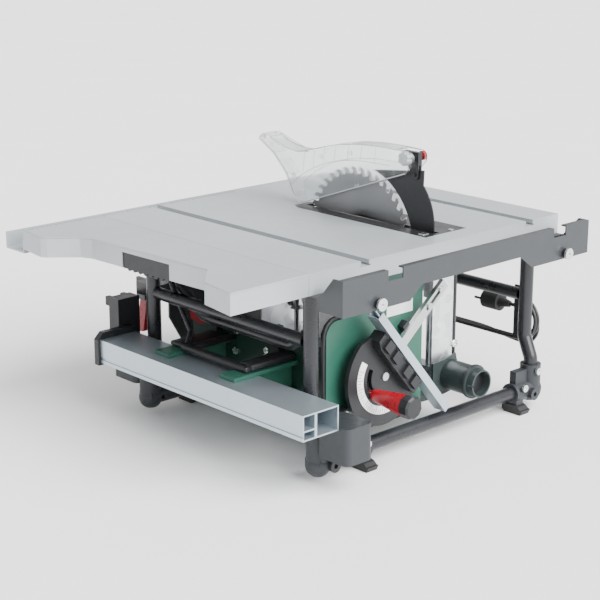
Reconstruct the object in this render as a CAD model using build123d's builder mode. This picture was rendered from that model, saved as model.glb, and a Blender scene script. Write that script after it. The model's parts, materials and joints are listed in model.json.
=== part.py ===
from build123d import *
import os
from math import cos, radians, sin, tan

os.makedirs("parts", exist_ok=True)

# Driving dimensions, mm. Saw coordinates start at the table's left front top corner:
# x to the right, y to the rear, z up from the table surface. The row's own frame has the
# same directions, with its origin on the floor under the middle of the saw's footprint.
table_w = 603.6
table_d = 540.0
table_h = 355.0
skirt_depth = 35.0
skin = 7.0
wall = 6.0
blade_x = 268.0
blade_y = 309.5
blade_up = 40.0
blade_r = 127.0
lift_travel = 87.0
slot_xs = (80.0, 484.0)
slot_w = 18.5
slot_depth = 9.5
tube_r = 12.5
post_xs = (37.0, 567.0)
post_front_y = 103.0
post_rear_y = 505.0
foot_front_y = 86.0
foot_rear_y = 522.0
bottom_tube_z = -320.0
guide_ys = (70.0, 470.0)
guide_z = -24.0
guide_r = 9.0
crank_z = -190.0
rod_r = 7.0
run_gap = 0.05
mid_x = 383.0
mid_y = 259.75


def at(x, y, z):
    return (x - mid_x, y - mid_y, z + table_h)


def level(z):
    """A horizontal plane at height z."""
    return Plane(origin=at(0, 0, z))


def across(x):
    """A plane facing right at x: its own axes are y and z."""
    return Plane(origin=at(x, 0, 0), x_dir=(0, 1, 0), z_dir=(1, 0, 0))


def along(y):
    """A plane facing the front at y: its own axes are x and z."""
    return Plane(origin=at(0, y, 0), x_dir=(1, 0, 0), z_dir=(0, -1, 0))


def block(x0, x1, y0, y1, z0, z1, mode=Mode.ADD):
    with Locations(at((x0 + x1) / 2, (y0 + y1) / 2, (z0 + z1) / 2)):
        Box(x1 - x0, y1 - y0, z1 - z0, mode=mode)


def plate(plane, points, thick, mode=Mode.ADD):
    with BuildSketch(plane) as profile:
        with BuildLine():
            Polyline(*points, close=True)
        make_face()
    extrude(profile.sketch, amount=thick, mode=mode)


def disc(plane, spots, r, thick, mode=Mode.ADD):
    with BuildSketch(plane) as profile:
        with Locations(*spots):
            Circle(r)
    extrude(profile.sketch, amount=thick, mode=mode)


def ring(plane, spots, r, bore_r, thick, mode=Mode.ADD):
    with BuildSketch(plane) as profile:
        with Locations(*spots):
            Circle(r)
            Circle(bore_r, mode=Mode.SUBTRACT)
    extrude(profile.sketch, amount=thick, mode=mode)


def pipe(points, bends, r, bore_r):
    """A round tube along straight runs joined by tangent bends."""
    with BuildLine() as path:
        if len(points) > 2:
            FilletPolyline(*[at(*p) for p in points], radius=bends)
        else:
            Line(*[at(*p) for p in points])
    run = path.wire()
    with BuildSketch(Plane(origin=run @ 0, z_dir=run % 0)) as section:
        Circle(r)
        if bore_r:
            Circle(bore_r, mode=Mode.SUBTRACT)
    sweep(section.sketch, path=run)


def save(piece, name):
    piece.part.label = name
    export_step(piece.part, f"parts/{name}.step")


def arc_points(cx, cz, r, start, end, steps):
    turns = [radians(start + (end - start) * i / steps) for i in range(steps + 1)]
    return [(cx + r * cos(a), cz + r * sin(a)) for a in turns]


def arc_slot(plane, r, half, start, end, thick, mode=Mode.SUBTRACT):
    """A band of radius r about the tilt axis, between two angles in degrees from +x."""
    with BuildSketch(plane) as band:
        with BuildLine():
            outer = CenterArc((blade_x, 0), r + half, start, end - start)
            inner = CenterArc((blade_x, 0), r - half, start, end - start)
            Line(outer @ 0, inner @ 0)
            Line(outer @ 1, inner @ 1)
        make_face()
    extrude(band.sketch, amount=thick, mode=mode)


# ---- table ---------------------------------------------------------------------------------

insert_outline = [(258, 171), (294, 171), (304, 190), (304, 502), (202, 502), (202, 250), (240, 186)]
insert_screw_spots = [(284, 178), (209, 495), (297, 495), (209, 262)]
insert_gap = 0.3
insert_t = 4.0
ledge = 7.0
pad_half = 19.0
pad_depth = 14.0

with BuildPart() as table_top:
    block(0, table_w, 0, table_d, -skin, 0)
    block(0, table_w, 0, wall, -skirt_depth, -skin)
    block(0, table_w, table_d - wall, table_d, -skirt_depth, -skin)
    block(0, wall, wall, table_d - wall, -skirt_depth, -skin)
    block(table_w - wall, table_w, wall, table_d - wall, -skirt_depth, -skin)
    for slot_x in slot_xs:
        block(slot_x - pad_half, slot_x + pad_half, wall, table_d - wall, -pad_depth, -skin)
    block(wall, 60, 268, 272, -22, -skin)
    block(400, table_w - wall, 268, 272, -pad_depth, -skin)
    for slot_x in slot_xs:
        block(slot_x - slot_w / 2, slot_x + slot_w / 2, -1, table_d + 1, -slot_depth, 1, Mode.SUBTRACT)
        block(slot_x - 12, slot_x + 12, -1, table_d + 1, -slot_depth, -6.9, Mode.SUBTRACT)
    with BuildSketch(level(0)) as recess:
        with BuildLine():
            Polyline(*insert_outline, close=True)
        make_face()
        offset(amount=insert_gap, kind=Kind.INTERSECTION)
    extrude(recess.sketch, amount=-insert_t, mode=Mode.SUBTRACT)
    with BuildSketch(level(-insert_t)) as throat:
        with BuildLine():
            Polyline(*insert_outline, close=True)
        make_face()
        offset(amount=-ledge, kind=Kind.INTERSECTION)
    extrude(throat.sketch, amount=-skin, mode=Mode.SUBTRACT)
    for y in guide_ys:
        block(545, table_w - wall, y - 14, y + 14, -38, -skin)
    disc(across(540), [(y, guide_z) for y in guide_ys], guide_r + run_gap, 70, Mode.SUBTRACT)
    chamfer(table_top.edges().group_by(Axis.Z)[-1].filter_by(Axis.X).sort_by(Axis.Y)[0], 0.8)
save(table_top, "table_top")

with BuildPart() as table_insert:
    plate(level(-insert_t), insert_outline, insert_t)
    block(blade_x - 6.5, blade_x + 9, 184, 494, -insert_t - 1, 1, Mode.SUBTRACT)
    disc(level(1), insert_screw_spots, 2.4, -9, Mode.SUBTRACT)
save(table_insert, "table_insert")

# ---- sliding table extension -----------------------------------------------------------------

ext_left = table_w + 0.6
ext_outline = [(ext_left, 0), (761, 0), (769, 64), (763, 73), (721, 110), (712, 131),
               (699, 415), (748, 467), (760, table_d), (ext_left, table_d)]
grip_y0, grip_y1 = 208.0, 325.0

with BuildPart() as extension_table:
    plate(level(-skirt_depth), ext_outline, skirt_depth)
    with BuildSketch(level(-skin)) as hollow:
        with BuildLine():
            Polyline(*ext_outline, close=True)
        make_face()
        offset(amount=-wall, kind=Kind.INTERSECTION)
    extrude(hollow.sketch, amount=-skirt_depth, mode=Mode.SUBTRACT)
    block(690, 715, grip_y0, grip_y1, -skirt_depth - 1, -9, Mode.SUBTRACT)
    disc(across(ext_left - 1), [(y, guide_z) for y in guide_ys], guide_r, wall + 2, Mode.SUBTRACT)
save(extension_table, "extension_table")

with BuildPart() as extension_grip:
    grip_out = (708.6 - 2.0, 703.2 - 2.0)
    plate(level(-36), [(695, grip_y0 + 0.2), (grip_out[0], grip_y0 + 0.2), (grip_out[1], grip_y1 - 0.2),
                       (690, grip_y1 - 0.2)], 36 - 9.2)
    block(660, 690.5, grip_y0 + 4, grip_y1 - 4, -12, -9.2)
    for i in range(8):
        disc(across(693), [(grip_y0 + 9 + i * 14.1, -36)], 5, 8)
save(extension_grip, "extension_grip")

guide_x0, guide_x1 = 345.0, 690.0
with BuildPart() as guide_tubes:
    ring(across(guide_x0), [(y, guide_z) for y in guide_ys], guide_r, guide_r - 2, guide_x1 - guide_x0)
save(guide_tubes, "guide_tubes")

# ---- front and rear rails -----------------------------------------------------------------------

rail_profile = [(0, -18), (0, -42), (-55, -42), (-55, -13), (-52, -13), (-52, -39), (-3, -39), (-3, -18)]
with BuildPart() as front_rail:
    plate(across(0), rail_profile, table_w)
save(front_rail, "front_rail")
with BuildPart() as extension_rail:
    plate(across(ext_left), rail_profile, 761 - ext_left)
save(extension_rail, "extension_rail")

rail_y = 607.0
rail_w = 598.0
rail_sheet = 2.5
notch_w, notch_z = 33.0, -17.0
rail_outline = [(0, 0), (rail_w, 0), (rail_w, -58), (451, -58), (424, -36), (183, -35), (151, -58), (0, -58)]
wing_outline = [(rail_y - rail_sheet, 0), (586, 0), (565, -25), (553, -35), (519, -35), (519, -38),
                (553, -38), (553, -57), (rail_y - rail_sheet, -57)]
with BuildPart() as rear_rail:
    plate(along(rail_y), rail_outline, rail_sheet)
    block(0, rail_w, rail_y - 11, rail_y - rail_sheet, -rail_sheet, 0)
    for slot_x in slot_xs:
        block(slot_x - notch_w / 2, slot_x + notch_w / 2, rail_y - 20, rail_y + 1, notch_z, 1, Mode.SUBTRACT)
    plate(across(0), wing_outline, rail_sheet)
    plate(across(rail_w - rail_sheet), wing_outline, rail_sheet)
    block(rail_sheet, 28, 519, 553, -38, -35)
    block(rail_w - 28, rail_w - rail_sheet, 519, 553, -38, -35)
save(rear_rail, "rear_rail")

spacer_spots = [(65, -48), (523, -48)]
# ---- tube frame ----------------------------------------------------------------------------------

frame_bore = tube_r - 2.0
with BuildPart() as posts:
    for y_top, y_foot in ((post_front_y, foot_front_y), (post_rear_y, foot_rear_y)):
        for x in post_xs:
            pipe([(x, y_top, -skin), (x, y_top, -225), (x, y_foot, -265), (x, y_foot, -293)],
                 [20, 20], tube_r, frame_bore)
save(posts, "posts")

clear = tube_r + 0.1
side_tube_zs = (-150.0, -125.0)
side_tube_r = 11.0
brace_x = 545.0
with BuildPart() as side_tubes:
    for x, z in zip(post_xs, side_tube_zs):
        pipe([(x, post_front_y + clear, z), (x, post_rear_y - clear, z)], [], side_tube_r, side_tube_r - 2)
    pipe([(brace_x, 128, -45), (brace_x, 150, -108), (brace_x, 215, -150), (brace_x, 440, -150),
          (brace_x, 482, -112)], [26, 26, 20], 9, 7)
save(side_tubes, "side_tubes")

left_reach, right_reach = 55.0, 106.0
with BuildPart() as bottom_tubes:
    for y in (foot_front_y, foot_rear_y):
        pipe([(post_xs[0] + left_reach, y, bottom_tube_z), (post_xs[1] - right_reach, y, bottom_tube_z)],
             [], tube_r, frame_bore)
save(bottom_tubes, "bottom_tubes")

# Each corner: its post's x and y, the signs of inward along x and outward along y, its arm's reach.
corners = [(post_xs[0], foot_front_y, 1, -1, left_reach), (post_xs[1], foot_front_y, -1, -1, right_reach),
           (post_xs[0], foot_rear_y, 1, 1, left_reach), (post_xs[1], foot_rear_y, -1, 1, right_reach)]
bolt_in, bolt_z, bolt_r = 15.5, -324.0, 4.2
foot_top_z = -339.2
with BuildPart() as castings:
    for x, y, inward, outward, reach in corners:
        with Locations(at(x, y, -300)):
            Cylinder(19, 52)
        with Locations(Location(at(x + inward * (reach - 11) / 2, y, bottom_tube_z), (0, 90, 0))):
            Cylinder(18.5, reach + 11)
        with Locations(at(x, y, bottom_tube_z - 4)):
            Sphere(21)
        with Locations(at(x + inward * 26, y, -300)):
            Box(46, 14, 40)
        with Locations(at(x + inward * (reach - 10), y, (foot_top_z - 314) / 2)):
            Box(18, 30, -314 - foot_top_z)
        disc(along(y + outward * 26), [(x + inward * bolt_in, bolt_z)], 11, outward * 26)
        disc(level(-293), [(x, y)], tube_r, 30, Mode.SUBTRACT)
        disc(along(y + outward * 27), [(x + inward * bolt_in, bolt_z)], bolt_r, outward * 60, Mode.SUBTRACT)
    for y, outward in ((foot_front_y, -1), (foot_rear_y, 1)):
        with BuildSketch(level(-300)) as cap:
            with Locations((557, y + outward * 50)):
                RectangleRounded(58, 70, 11)
        extrude(cap.sketch, amount=61)
    block(0, table_w, 0, table_d + 60, -360, -342, Mode.SUBTRACT)
save(castings, "castings")

with BuildPart() as feet:
    for x, y, inward, outward, reach in corners:
        foot_x = x + (reach - 10) * inward
        plate(across(foot_x - 12), [(y - 16 * outward, -342), (y - 16 * outward, -350),
                                    (y - 10 * outward, -355), (y + 26 * outward, -355),
                                    (y + 30 * outward, -346), (y + 26 * outward, -346),
                                    (y + 20 * outward, -341), (y + 14 * outward, foot_top_z),
                                    (y - 10 * outward, foot_top_z)], 24)
save(feet, "feet")

# ---- cabinet under the table ------------------------------------------------------------------------

front_panel_y = 22.0
with BuildPart() as front_panel:
    block(176, 180, front_panel_y, 60, -270, -46.5)
    plate(along(front_panel_y), [(176, -42.5), (470, -42.5), (470, -210), (420, -296), (200, -296),
                                 (176, -270)], 4)
    block(176, 470, front_panel_y, front_panel_y + 26, -46.5, -42.5)
    arc_slot(along(front_panel_y + 1), -crank_z, 13, -104, -34, 8)
    disc(along(front_panel_y), [(215, -90)], 3, 5, Mode.SUBTRACT)
save(front_panel, "front_panel")

rear_panel_y = 497.0
with BuildPart() as rear_panel:
    with BuildSketch(along(rear_panel_y)) as outline:
        with BuildLine():
            Polyline((302, -14.5), (440, -14.5), (440, -104), (526, -104), (526, -300), (302, -300), close=True)
        make_face()
        fillet(outline.vertices().sort_by(Axis.X)[-2:], 26)
    extrude(outline.sketch, amount=4)
save(rear_panel, "rear_panel")

with BuildPart() as labels:
    block(327, 389, rear_panel_y, rear_panel_y + 0.6, -122, -98)
    arc_slot(along(front_panel_y - 4), -crank_z + 22, 6, -102, -36, 1.2, Mode.ADD)
save(labels, "labels")

with BuildPart() as side_panel:
    plate(across(500), [(130, -176), (390, -158), (470, -158), (488, -176), (488, -296), (150, -296)], 3.5)
    plate(across(496), [(130, -176), (390, -158), (390, -166), (134, -184)], 4)
save(side_panel, "side_panel")

# Every screw of the fixed part: insert, rear rail, corner castings, panels.
with BuildPart() as screws:
    disc(level(-0.6), insert_screw_spots, 2.3, -3.3)
    disc(along(rail_y + 11), spacer_spots, 10, 4)
    with BuildSketch(along(rail_y + 11)) as sockets:
        with Locations(*spacer_spots):
            RegularPolygon(3, 6)
    extrude(sockets.sketch, amount=2.2, mode=Mode.SUBTRACT)
    for x, y, inward, outward, reach in corners:
        inner_screw = (x + 4, -284) if reach == left_reach else (x - 52, -308)
        for spot in [inner_screw, (x + inward * (reach - 15), -308)]:
            disc(along(y + outward * 24), [spot], 6.5, outward * 4.6)
            disc(along(y + outward * 25), [spot], 2.6, outward * 3.0, Mode.SUBTRACT)
    disc(across(503.5), [(250, -212), (330, -206), (430, -270)], 7, 3)
    disc(along(rear_panel_y + 2.5), [(330, -210), (500, -285)], 5.5, 2.5)
save(screws, "screws")

# The dust trough is an arc about the tilt axis, so that the blade case can swing over it.
trough_r = 293.0
port_x, port_z = 219.0, -261.0
port_r, port_bore = 24.5, 21.5
with BuildPart() as dust_trough:
    outer = arc_points(blade_x, 0, trough_r + 3, -106, -40, 24)
    inner = arc_points(blade_x, 0, trough_r, -40, -106, 24)
    plate(along(490), outer + inner, 365)
    wall_edge = arc_points(blade_x, 0, trough_r + 1.5, -105.5, -91, 8)
    plate(along(490), wall_edge + arc_points(blade_x, 0, 233, -91, -105.5, 8), 3.5)
    disc(along(545), [(port_x, port_z)], 26.5, 58)
    disc(along(548), [(port_x, port_z)], 29, 8)
    disc(along(562), [(port_x, port_z)], port_r, 20)
    disc(along(563), [(port_x, port_z)], port_bore, 80, Mode.SUBTRACT)
    block(port_x + 20, port_x + 34, 552, 563, port_z - 1.5, port_z + 1.5, Mode.SUBTRACT)
save(dust_trough, "dust_trough")


# ---- tilting unit: it swings about the line where the blade meets the table ----------------------

front_arc_r, rear_arc_r = 66.0, 48.0
with BuildPart() as arc_plates:
    plate(along(104), [(205, -skin), (348, -skin), (348, -70), (318, -92), (220, -92), (205, -70)], 8)
    arc_slot(along(105), front_arc_r, 6, -110, -26, 10)
    plate(along(496), [(205, -skin), (301, -skin), (301, -50), (285, -66), (218, -66), (205, -50)], 6)
    arc_slot(along(497), rear_arc_r, 5, -138, -56, 8)
save(arc_plates, "arc_plates")

rod_x = blade_x - 36
rod_ys = (140.0, 452.0)
screw_y = 150.0
screw_r = 6.0
crank_shaft_r = 8.0
with BuildPart() as tilt_frame:
    plate(along(110), [(200, -30), (248, -30), (313, -95), (320, -104), (320, -262), (200, -262)], 4)
    arc_slot(along(106.5), front_arc_r, 5.6, -106, -74, 10, Mode.ADD)
    plate(along(478), [(203, -85), (208, -60), (218, -30), (255, -30), (255, -255), (203, -255)], 4)
    arc_slot(along(495), rear_arc_r, 4.6, -134, -104, 17.5, Mode.ADD)
    block(215, 235, 110, 474, -262, -250)
    block(222, 282, 110, 163, -48, -38)
    block(222, 282, 110, 163, -262, -250)
    block(222, 242, 440, 474, -48, -38)
    block(222, 242, 440, 474, -262, -250)
    block(235, 253, 300, 320, -262, -252)
    disc(level(-30), [(blade_x, screw_y)], screw_r + run_gap, -20, Mode.SUBTRACT)
    disc(along(111), [(blade_x, crank_z)], crank_shaft_r + run_gap, 6, Mode.SUBTRACT)
    disc(level(-48), [(rod_x, y) for y in rod_ys], rod_r, -202)
save(tilt_frame, "tilt_frame")

case_r = blade_r + 10
case_low_z = -blade_up - lift_travel
with BuildPart() as blade_case:
    block(253, 288, blade_y - case_r, blade_y + case_r, case_low_z, -20)
    disc(across(253), [(blade_y, case_low_z)], case_r, 35)
    block(255, 286, blade_y - case_r + 2, blade_y + case_r - 2, case_low_z, -10, Mode.SUBTRACT)
    disc(across(255), [(blade_y, case_low_z)], case_r - 2, 31, Mode.SUBTRACT)
    block(252, 289, blade_y - case_r - 1, blade_y + case_r + 1, -30, 12, Mode.SUBTRACT)
    block(blade_x - 4, blade_x + 4, blade_y + 120, blade_y + case_r + 1, -116, -30, Mode.SUBTRACT)
    block(285, 289, blade_y - case_r - 1, blade_y + case_r + 1, -74, -10, Mode.SUBTRACT)
    block(252, 256, blade_y - 26, blade_y + 26, -156, -10, Mode.SUBTRACT)
    block(255, 286, 270, 350, -270, -230, Mode.SUBTRACT)
save(blade_case, "blade_case")

bevel_r = 13.6
with BuildPart() as crank_shaft:
    disc(along(136), [(blade_x, crank_z)], crank_shaft_r, 136 + 50)
    with Locations(Location(at(blade_x, 139, crank_z), (-90, 0, 0))):
        Cone(bevel_r, bevel_r - 6, 6)
save(crank_shaft, "crank_shaft")

wheel_r = 62.0
with BuildPart() as crank_wheel:
    with BuildSketch(along(-34)) as wheel:
        with Locations((blade_x, crank_z)):
            Circle(wheel_r - 3)
            with PolarLocations(38, 5, 36):
                Circle(13, mode=Mode.SUBTRACT)
    extrude(wheel.sketch, amount=9)
    ring(along(-36), [(blade_x, crank_z)], wheel_r, wheel_r - 9, 16)
    disc(along(-24), [(blade_x, crank_z)], 20, 28)
    disc(along(0), [(blade_x, crank_z)], crank_shaft_r, 50, Mode.SUBTRACT)
    disc(along(-42), [(blade_x + 43, crank_z)], 8.5, 10)
    disc(along(-30), [(blade_x + 43, crank_z)], 5 + run_gap, 40, Mode.SUBTRACT)
save(crank_wheel, "crank_wheel")

with BuildPart() as crank_grip:
    disc(along(-34.3), [(blade_x + 43, crank_z)], 5, 18.2)
    with Locations(Location(at(blade_x + 43, -75.5, crank_z), (90, 0, 0))):
        Cone(10, 13, 46)
    fillet(crank_grip.faces().sort_by(Axis.Y)[0].edges(), 4)
save(crank_grip, "crank_grip")

with BuildPart() as bevel_lock:
    ring(along(6), [(blade_x, crank_z)], 19, crank_shaft_r + 0.1, 16)
    plate(along(2), [(blade_x - 8, crank_z - 12), (blade_x + 8, crank_z - 12), (blade_x + 74, crank_z - 62),
                     (blade_x + 66, crank_z - 74)], 9)
    with Locations(Location(at(blade_x + 70, -8, crank_z - 67), (90, 0, 0))):
        Cone(9, 11, 34)
    disc(along(7), [(blade_x, crank_z)], crank_shaft_r + 0.1, 20, Mode.SUBTRACT)
save(bevel_lock, "bevel_lock")

with BuildPart() as lift_screw:
    disc(level(-39), [(blade_x, screw_y)], screw_r, -210.6)
    with Locations(at(blade_x, screw_y, -201)):
        Cone(bevel_r, bevel_r - 6, 6)
save(lift_screw, "lift_screw")

# ---- motor unit: it rides up and down the guide rods -----------------------------------------------

motor_z = -78.0
motor_r = 50.0
bush_r = 13.0
knife_x0, knife_x1 = 266.8, 269.2
with BuildPart() as motor_carriage:
    disc(level(-60), [(rod_x, y) for y in rod_ys], bush_r, -65)
    plate(across(219), [(rod_ys[0], -118), (rod_ys[0], -66), (250, -66), (262, -28), (357, -28), (370, -66),
                        (rod_ys[1], -66), (rod_ys[1], -118), (365, -130), (255, -130)], 8)
    block(rod_x + 6, blade_x + 12, 138, 163, -84, -66)
    block(rod_x + 4, knife_x0 - 0.1, 449.5, 471.5, -80, -66)
    block(246, knife_x0 - 0.1, 449.5, 471.5, -66, -32)
    disc(level(-59), [(rod_x, y) for y in rod_ys], rod_r + run_gap, -70, Mode.SUBTRACT)
    disc(level(-59), [(blade_x, screw_y)], screw_r + run_gap, -70, Mode.SUBTRACT)
    disc(across(knife_x0 - 12), [(460.5, -56)], 3, 13, Mode.SUBTRACT)
    block(knife_x1, knife_x1 + 4, 450, 471, -76, -36)
    disc(across(knife_x0 - 11), [(460.5, -56)], 2.95, 15)
    disc(across(knife_x1 + 4), [(460.5, -56)], 6, 4)
save(motor_carriage, "motor_carriage")

with BuildPart() as gearbox:
    with BuildSketch(across(227)) as gear_case:
        with Locations((blade_y, motor_z)):
            Circle(34)
        with Locations((blade_y, -blade_up)):
            Circle(21)
        make_hull()
    extrude(gear_case.sketch, amount=22)
    disc(across(249), [(blade_y, -blade_up)], 15, 3)
    disc(across(226), [(blade_y, -blade_up)], 8 + run_gap, 30, Mode.SUBTRACT)
save(gearbox, "gearbox")

with BuildPart() as motor_housing:
    disc(across(112), [(blade_y, motor_z)], motor_r, 107)
    with BuildSketch(across(112)) as fins:
        with Locations((blade_y, motor_z)):
            with PolarLocations(motor_r, 16):
                Rectangle(3, 6)
    extrude(fins.sketch, amount=60, mode=Mode.SUBTRACT)
save(motor_housing, "motor_housing")

with BuildPart() as motor_cap:
    disc(across(84), [(blade_y, motor_z)], motor_r - 2, 28)
    fillet(motor_cap.faces().sort_by(Axis.X)[0].edges(), 8)
    for i in range(-3, 4):
        block(80, 92, blade_y - 30, blade_y + 30, motor_z + 9 * i - 2, motor_z + 9 * i + 2, Mode.SUBTRACT)
save(motor_cap, "motor_cap")

knife_r = blade_r + 6
with BuildPart() as riving_knife:
    with BuildSketch(across(knife_x0)) as knife:
        with BuildLine():
            top_y = blade_y + 38
            inner = ThreePointArc((top_y, -blade_up + (knife_r**2 - 38**2) ** 0.5),
                                  (blade_y + knife_r * cos(radians(48)), -blade_up + knife_r * sin(radians(48))),
                                  (blade_y + knife_r * cos(radians(9)), -blade_up + knife_r * sin(radians(9))))
            Polyline(inner @ 1, (449.5, -24), (449.5, -78), (471.5, -78), (471.5, -30), (488, -8))
            Line((488, -8), (488, 4))
            arc_end = (462, 76)
            ThreePointArc((488, 4), (483, 40), arc_end)
            Polyline(arc_end, (463, 102), inner @ 0)
        make_face()
    extrude(knife.sketch, amount=knife_x1 - knife_x0)
    disc(across(knife_x0 - 1), [(460.5, -56)], 3, 5, Mode.SUBTRACT)
    disc(across(knife_x0 - 1), [(445, 92)], 3.05, 5, Mode.SUBTRACT)
save(riving_knife, "riving_knife")

# ---- saw blade ----------------------------------------------------------------------------------------

teeth = 40
pitch = 360 / teeth
tooth_shape = [(0.0, 113.0), (1.4, 114.2), (2.4, 118.0), (3.4, 123.6), (6.6, 126.4), (6.1, 119.5),
               (6.3, 115.5)]


def rim_point(angle, r):
    return (blade_y + r * cos(radians(angle)), -blade_up + r * sin(radians(angle)))


blade_t, tip_t = 1.8, 2.6
with BuildPart() as saw_blade:
    rim = [rim_point(i * pitch + turn, r) for i in range(teeth) for turn, r in tooth_shape]
    plate(across(blade_x - blade_t / 2), rim, blade_t)
    with BuildSketch(across(blade_x - 2)) as cuts:
        with Locations((blade_y, -blade_up)):
            Circle(8)
            with PolarLocations(104, 4, 0.4):
                Rectangle(20, 1.2)
            with PolarLocations(94, 4, 0.4):
                Circle(3)
    extrude(cuts.sketch, amount=4, mode=Mode.SUBTRACT)
save(saw_blade, "saw_blade")

with BuildPart() as blade_tips:
    for i in range(teeth):
        a = i * pitch
        plate(across(blade_x - tip_t / 2), [rim_point(a + 6.65, 126.4), rim_point(a + 7.9, 127.0),
                                            rim_point(a + 7.3, 120.0), rim_point(a + 6.2, 119.8)], tip_t)
save(blade_tips, "blade_tips")

with BuildPart() as arbor:
    disc(across(229), [(blade_y, -blade_up)], 8, 46)
    disc(across(255.6), [(blade_y, -blade_up)], 16, blade_x - blade_t / 2 - 255.6)
    disc(across(blade_x + blade_t / 2), [(blade_y, -blade_up)], 16, 4)
    with BuildSketch(across(blade_x + blade_t / 2 + 4)) as nut:
        with Locations((blade_y, -blade_up)):
            RegularPolygon(11, 6)
            Circle(8, mode=Mode.SUBTRACT)
    extrude(nut.sketch, amount=7)
save(arbor, "arbor")

# ---- blade guard ----------------------------------------------------------------------------------------

lift_pin = (445.0, 92.0)
guard_pin = (440.0, 122.0)
guard_x0, guard_x1 = 251.0, 285.0
guard_t = 2.5
with BuildPart() as guard_bracket:
    for x in (knife_x0 - 3.4, knife_x1 + 0.3):
        disc(across(x), [lift_pin], 8, 3.1)
        plate(across(x), [(437, 92), (453, 92), (453, 118), (425, 118)], 3.1)
    block(knife_x0 - 3.4, knife_x1 + 3.4, 418, 453, 109, 131)
    disc(across(250), [guard_pin], 4 + run_gap, 40, Mode.SUBTRACT)
    disc(across(260.5), [lift_pin], 3, 15)
save(guard_bracket, "guard_bracket")

with BuildPart() as guard_shell:
    with BuildSketch(across(guard_x0)) as side:
        with BuildLine():
            Polyline((64, 106), (104, 84), (140, 50), (156, 18), (177, 3), (433, 93), (450, 112))
            ThreePointArc((450, 112), (451, 128), (440, 133))
            Spline((440, 133), (350, 133), (267, 122), (184, 100), (152, 99), (86, 118))
            ThreePointArc((86, 118), (72, 117), (64, 106))
        make_face()
    extrude(side.sketch, amount=guard_x1 - guard_x0)
    with BuildSketch(across(guard_x0 + guard_t)) as inside:
        with BuildLine():
            Spline((412, 130.8), (350, 130.4), (267, 119.4), (184, 97.5), (152, 96.4), (92, 112))
            Polyline((92, 112), (72, 107), (107, 87), (143, 52), (159, 21), (182, -20), (412, 70), (412, 130.8))
        make_face()
    extrude(inside.sketch, amount=guard_x1 - guard_x0 - 2 * guard_t, mode=Mode.SUBTRACT)
    block(guard_x0 + guard_t, guard_x1 - guard_t, 412, 470, 60, 150, Mode.SUBTRACT)
    block(guard_x0 - 1, guard_x0 + 6, 140, 240, -5, 19, Mode.SUBTRACT)
    disc(across(guard_x0 - 1), [guard_pin], 4 + run_gap, 40, Mode.SUBTRACT)
save(guard_shell, "guard_shell")

with BuildPart() as guard_knob:
    disc(across(guard_x0 - 6), [guard_pin], 4, guard_x1 - guard_x0 + 7)
    disc(across(guard_x0 - 6), [guard_pin], 8, 5.7)
    with BuildSketch(across(guard_x1 + 0.3)) as knob:
        with Locations(guard_pin):
            Circle(12)
            with PolarLocations(13, 6):
                Circle(3, mode=Mode.SUBTRACT)
    extrude(knob.sketch, amount=11)
    fillet(guard_knob.faces().sort_by(Axis.X)[-1].edges(), 1.2)
save(guard_knob, "guard_knob")

# ---- mitre gauge, stored flat behind the rear panel ----------------------------------------------------

gauge_turn = 50.0
gauge_x, gauge_z = 421.0, -209.0


def gauge_plane(y):
    """Faces the front at y, with x along the gauge's fence and y along its guide bar."""
    return Plane(origin=at(gauge_x, y, gauge_z), z_dir=(0, -1, 0),
                 x_dir=(cos(radians(gauge_turn)), 0, sin(radians(gauge_turn))))


def heading(angle):
    return Vector(cos(radians(angle)), sin(radians(angle)))


bar_y0, bar_y1 = 510.0, 518.0
head_y0, head_y1 = 518.3, 526.0
with BuildPart() as gauge_bar:
    plate(gauge_plane(bar_y1), [(-9, -98), (9, -98), (9, 199), (-9, 199)], bar_y1 - bar_y0)
    plate(gauge_plane(bar_y0 + 2), [(-11.6, -96), (11.6, -96), (11.6, -60), (-11.6, -60)], 2)
    with BuildSketch(gauge_plane(bar_y1)) as bar_slot:
        with Locations((0, 165)):
            SlotOverall(52, 6.5, rotation=90)
    extrude(bar_slot.sketch, amount=9, mode=Mode.SUBTRACT)
    disc(gauge_plane(bar_y1 + 3), [(0, 148), (0, 184)], 5.5, 3)
    disc(gauge_plane(bar_y1), [(0, 148), (0, 184)], 3.2, 8)
    disc(gauge_plane(head_y1 + 2.8), [(0, 0)], 4, 18)
    disc(gauge_plane(head_y1 + 2.8), [(0, 0)], 7, 2.5)
save(gauge_bar, "gauge_bar")

head_r = 84.0
fence_y0, fence_y1 = 524.0, 550.0
fence_s, fence_thick = 39.5, 14.0
with BuildPart() as gauge_head:
    with BuildSketch(gauge_plane(head_y1)) as head:
        with BuildLine():
            ThreePointArc((-head_r, 0), (0, -head_r), (head_r, 0))
            Polyline((head_r, 0), (head_r - 8, 22), (-head_r + 8, 22), (-head_r, 0))
        make_face()
        Circle(4 + run_gap, mode=Mode.SUBTRACT)
    extrude(head.sketch, amount=head_y1 - head_y0)
    with BuildSketch(gauge_plane(head_y1)) as window:
        with BuildLine():
            CenterArc((0, 0), 41, 200, 140)
            CenterArc((0, 0), 31, 200, 140)
            Line(41 * heading(200), 31 * heading(200))
            Line(41 * heading(340), 31 * heading(340))
        make_face()
    extrude(window.sketch, amount=9, mode=Mode.SUBTRACT)
    plate(gauge_plane(fence_y1 - 6), [(-62, 16), (-52, 14), (60, 14), (74, 20), (74, fence_s), (-62, fence_s)],
          fence_y1 - 6 - head_y0)
    for t in (-44, -16, 24, 52):
        plate(gauge_plane(fence_y1), [(t - 9, 19), (t + 9, 19), (t + 9, fence_s - 3), (t - 9, fence_s - 3)], 8)
save(gauge_head, "gauge_head")

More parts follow.
